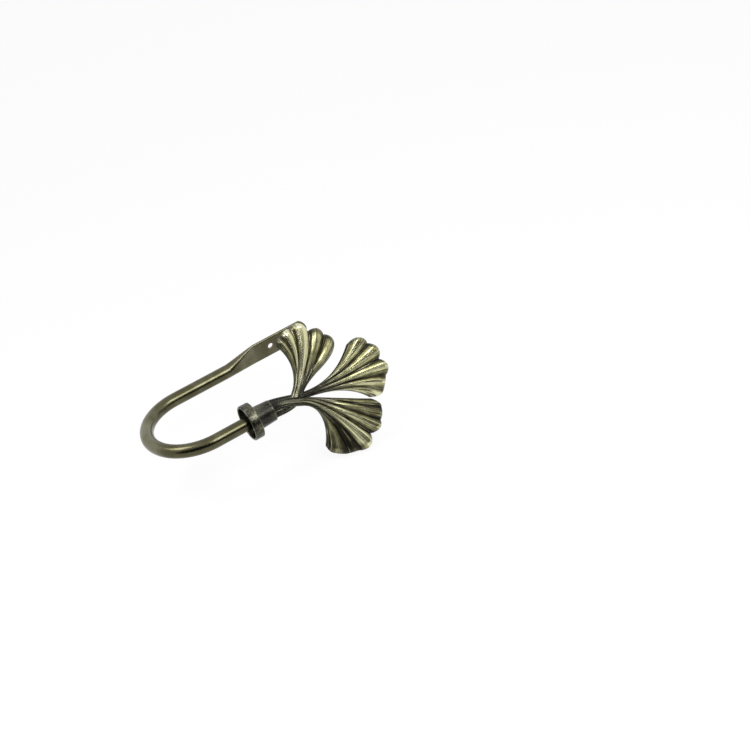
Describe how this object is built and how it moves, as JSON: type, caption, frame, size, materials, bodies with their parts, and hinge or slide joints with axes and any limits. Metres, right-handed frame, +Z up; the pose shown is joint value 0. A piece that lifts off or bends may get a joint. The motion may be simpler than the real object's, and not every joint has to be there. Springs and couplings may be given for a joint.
{
  "type": "curtain holdback",
  "caption": "Curtain holdback: a bent tube arm with a flattened, drilled fixing end, and a cast spray of ginkgo leaves on its free end.",
  "frame": {"origin": "on the wall face of the flattened end, half way between its two screw holes", "axes": "+Y into the wall, the room is at -Y; +X along the flattened end, away from the bend; +Z up when the arm is fixed level"},
  "size_m": [0.179, 0.1081, 0.0916],
  "materials": {
    "tube": "antique brass, satin",
    "casting": "antique brass, dark in the hollows and brushed bright on the ridges",
    "plug": "turned, plain",
    "stud": "plain"
  },
  "bodies": {
    "root": {"arm": "tube", "leaf_spray": "casting", "tube_plug": "plug", "stud": "stud"}
  },
  "joints": []
}
